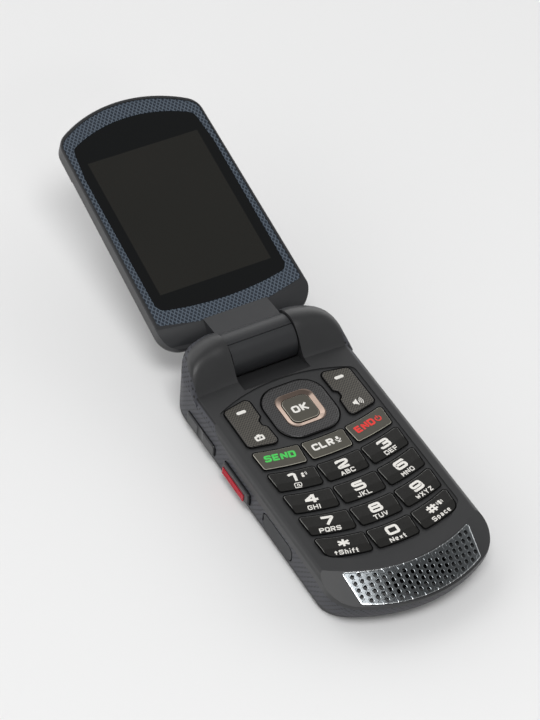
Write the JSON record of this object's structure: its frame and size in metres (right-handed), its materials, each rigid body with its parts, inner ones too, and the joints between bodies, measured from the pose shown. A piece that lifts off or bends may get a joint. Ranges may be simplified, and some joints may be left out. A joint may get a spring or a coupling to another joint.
{
  "type": "flip phone",
  "caption": "Rugged clamshell phone, open, with a hinged lid holding a tall display and a base with a keypad, navigation ring, side keys, covered sockets and a perforated speaker grille.",
  "frame": {"origin": "centre of the keypad half's flat back face, which rests on the table", "axes": "+X to the right of someone reading the keys, +Y along the phone towards the hinge and the lid, +Z out of the keys"},
  "size_m": [0.0527, 0.188, 0.0381],
  "materials": {
    "front_shell": "soft matte",
    "rear_band": "matte with rows of fine dots",
    "back_cover": "matte",
    "lid_shell": "soft matte",
    "bezel": "satin with a fine diamond lattice",
    "window": "polished",
    "number_key": "gloss",
    "function_key": "satin",
    "soft_key": "satin with a fine weave",
    "nav_ring": "satin with a fine weave",
    "nav_trim": "polished warm chrome",
    "grille": "dark satin chrome",
    "side_key": "satin",
    "red_insert": "ribbed satin",
    "rubber": "matte",
    "steel": "brushed",
    "black_part": "matte",
    "board": "varnished",
    "flex": "satin",
    "cell": "wrapped"
  },
  "bodies": {
    "base": {"front_housing": "front_shell", "rear_housing": "rear_band", "battery_cover": "back_cover", "battery": "cell", "main_board": "board", "keypad_mat": "rubber", "speaker_grille": "grille", "speaker": "black_part", "microphone": "steel", "vibration_motor": "steel", "usb_socket": "steel", "headset_jack": "black_part", "side_key_board": "board", "base_screws": "steel", "hinge_shaft": "steel", "pivot_bush": "black_part", "hinge_flex": "flex"},
    "lid": {"lid_inner_housing": "lid_shell", "lid_outer_housing": "lid_shell", "bezel_panel": "bezel", "display_window": "window", "display_module": "black_part", "outer_window": "window", "outer_display": "black_part", "camera_module": "black_part", "camera_lens": "window", "flash_lens": "window", "earpiece": "black_part", "lid_board": "board", "lid_magnet": "steel", "hinge_cartridge": "steel", "lid_screws": "steel"},
    "key_0": {"key_0": "number_key"},
    "key_1": {"key_1": "number_key"},
    "key_2": {"key_2": "number_key"},
    "key_3": {"key_3": "number_key"},
    "key_4": {"key_4": "number_key"},
    "key_5": {"key_5": "number_key"},
    "key_6": {"key_6": "number_key"},
    "key_7": {"key_7": "number_key"},
    "key_8": {"key_8": "number_key"},
    "key_9": {"key_9": "number_key"},
    "key_star": {"key_star": "number_key"},
    "key_hash": {"key_hash": "number_key"},
    "key_send": {"key_send": "function_key"},
    "key_clear": {"key_clear": "function_key"},
    "key_end": {"key_end": "function_key"},
    "ok_key": {"ok_key": "function_key"},
    "soft_key_left": {"soft_key_left": "soft_key"},
    "soft_key_right": {"soft_key_right": "soft_key"},
    "volume_key": {"volume_key": "side_key"},
    "port_cover": {"port_cover": "rubber"},
    "headset_cover": {"headset_cover": "rubber"},
    "battery_latch": {"battery_latch": "side_key"},
    "vibration_weight": {"vibration_weight": "steel"},
    "nav_pad": {"nav_pad": "rubber"},
    "nav_ring": {"nav_ring": "nav_ring", "nav_trim": "nav_trim"},
    "talk_key": {"talk_key": "side_key", "talk_insert": "red_insert"}
  },
  "joints": [
    {"name": "lid_hinge", "type": "hinge", "parent": "base", "child": "lid", "pos_m": [0, 0.045, 0.0142], "axis": [1, 0, 0], "range_deg": [0, 165]},
    {"name": "key_0_press", "type": "slide", "parent": "base", "child": "key_0", "axis": [0, 0, -1], "range_m": [0, 0.0004], "stiffness_N_per_m": 3750, "springref_m": -0.0001},
    {"name": "key_1_press", "type": "slide", "parent": "base", "child": "key_1", "axis": [0, 0, -1], "range_m": [0, 0.0004], "stiffness_N_per_m": 3750, "springref_m": -0.0001},
    {"name": "key_2_press", "type": "slide", "parent": "base", "child": "key_2", "axis": [0, 0, -1], "range_m": [0, 0.0004], "stiffness_N_per_m": 3750, "springref_m": -0.0001},
    {"name": "key_3_press", "type": "slide", "parent": "base", "child": "key_3", "axis": [0, 0, -1], "range_m": [0, 0.0004], "stiffness_N_per_m": 3750, "springref_m": -0.0001},
    {"name": "key_4_press", "type": "slide", "parent": "base", "child": "key_4", "axis": [0, 0, -1], "range_m": [0, 0.0004], "stiffness_N_per_m": 3750, "springref_m": -0.0001},
    {"name": "key_5_press", "type": "slide", "parent": "base", "child": "key_5", "axis": [0, 0, -1], "range_m": [0, 0.0004], "stiffness_N_per_m": 3750, "springref_m": -0.0001},
    {"name": "key_6_press", "type": "slide", "parent": "base", "child": "key_6", "axis": [0, 0, -1], "range_m": [0, 0.0004], "stiffness_N_per_m": 3750, "springref_m": -0.0001},
    {"name": "key_7_press", "type": "slide", "parent": "base", "child": "key_7", "axis": [0, 0, -1], "range_m": [0, 0.0004], "stiffness_N_per_m": 3750, "springref_m": -0.0001},
    {"name": "key_8_press", "type": "slide", "parent": "base", "child": "key_8", "axis": [0, 0, -1], "range_m": [0, 0.0004], "stiffness_N_per_m": 3750, "springref_m": -0.0001},
    {"name": "key_9_press", "type": "slide", "parent": "base", "child": "key_9", "axis": [0, 0, -1], "range_m": [0, 0.0004], "stiffness_N_per_m": 3750, "springref_m": -0.0001},
    {"name": "key_star_press", "type": "slide", "parent": "base", "child": "key_star", "axis": [0, 0, -1], "range_m": [0, 0.0004], "stiffness_N_per_m": 3750, "springref_m": -0.0001},
    {"name": "key_hash_press", "type": "slide", "parent": "base", "child": "key_hash", "axis": [0, 0, -1], "range_m": [0, 0.0004], "stiffness_N_per_m": 3750, "springref_m": -0.0001},
    {"name": "key_send_press", "type": "slide", "parent": "base", "child": "key_send", "axis": [0, 0, -1], "range_m": [0, 0.0004], "stiffness_N_per_m": 3750, "springref_m": -0.0001},
    {"name": "key_clear_press", "type": "slide", "parent": "base", "child": "key_clear", "axis": [0, 0, -1], "range_m": [0, 0.0004], "stiffness_N_per_m": 3750, "springref_m": -0.0001},
    {"name": "key_end_press", "type": "slide", "parent": "base", "child": "key_end", "axis": [0, 0, -1], "range_m": [0, 0.0004], "stiffness_N_per_m": 3750, "springref_m": -0.0001},
    {"name": "ok_key_press", "type": "slide", "parent": "base", "child": "ok_key", "axis": [0, 0, -1], "range_m": [0, 0.0004], "stiffness_N_per_m": 3750, "springref_m": -0.0001},
    {"name": "soft_key_left_rock", "type": "hinge", "parent": "base", "child": "soft_key_left", "pos_m": [-0.0164, 0.019, 0.0104], "axis": [1, 0, 0], "range_deg": [-1.5, 1.5], "stiffness_Nm_per_rad": 0.45},
    {"name": "soft_key_right_rock", "type": "hinge", "parent": "base", "child": "soft_key_right", "pos_m": [0.0164, 0.019, 0.0104], "axis": [1, 0, 0], "range_deg": [-1.5, 1.5], "stiffness_Nm_per_rad": 0.45},
    {"name": "nav_tilt_up_down", "type": "hinge", "parent": "base", "child": "nav_pad", "pos_m": [0, 0.0186, 0.0102], "axis": [1, 0, 0], "range_deg": [-1, 1], "stiffness_Nm_per_rad": 0.6},
    {"name": "nav_tilt_left_right", "type": "hinge", "parent": "nav_pad", "child": "nav_ring", "pos_m": [0, 0.0186, 0.0102], "axis": [0, 1, 0], "range_deg": [-1, 1], "stiffness_Nm_per_rad": 0.6},
    {"name": "volume_rock", "type": "hinge", "parent": "base", "child": "volume_key", "pos_m": [-0.0236, 0.0288, 0.005], "axis": [0, 0, 1], "range_deg": [-2, 2], "stiffness_Nm_per_rad": 0.21},
    {"name": "talk_press", "type": "slide", "parent": "base", "child": "talk_key", "axis": [1, 0, 0], "range_m": [0, 0.0004], "stiffness_N_per_m": 3750, "springref_m": -0.0001},
    {"name": "port_cover_swing", "type": "hinge", "parent": "base", "child": "port_cover", "pos_m": [-0.02585, -0.0227, 0.0056], "axis": [0, 0, 1], "range_deg": [0, 120]},
    {"name": "headset_cover_swing", "type": "hinge", "parent": "base", "child": "headset_cover", "pos_m": [0.02585, 0.0299, 0.0051], "axis": [0, 0, -1], "range_deg": [0, 120]},
    {"name": "latch_turn", "type": "hinge", "parent": "base", "child": "battery_latch", "pos_m": [0, -0.0366, 0.0005], "axis": [0, 0, 1], "range_deg": [0, 90]},
    {"name": "weight_spin", "type": "hinge", "parent": "base", "child": "vibration_weight", "pos_m": [0.002, -0.03155, 0.0049], "axis": [1, 0, 0], "continuous": true}
  ]
}
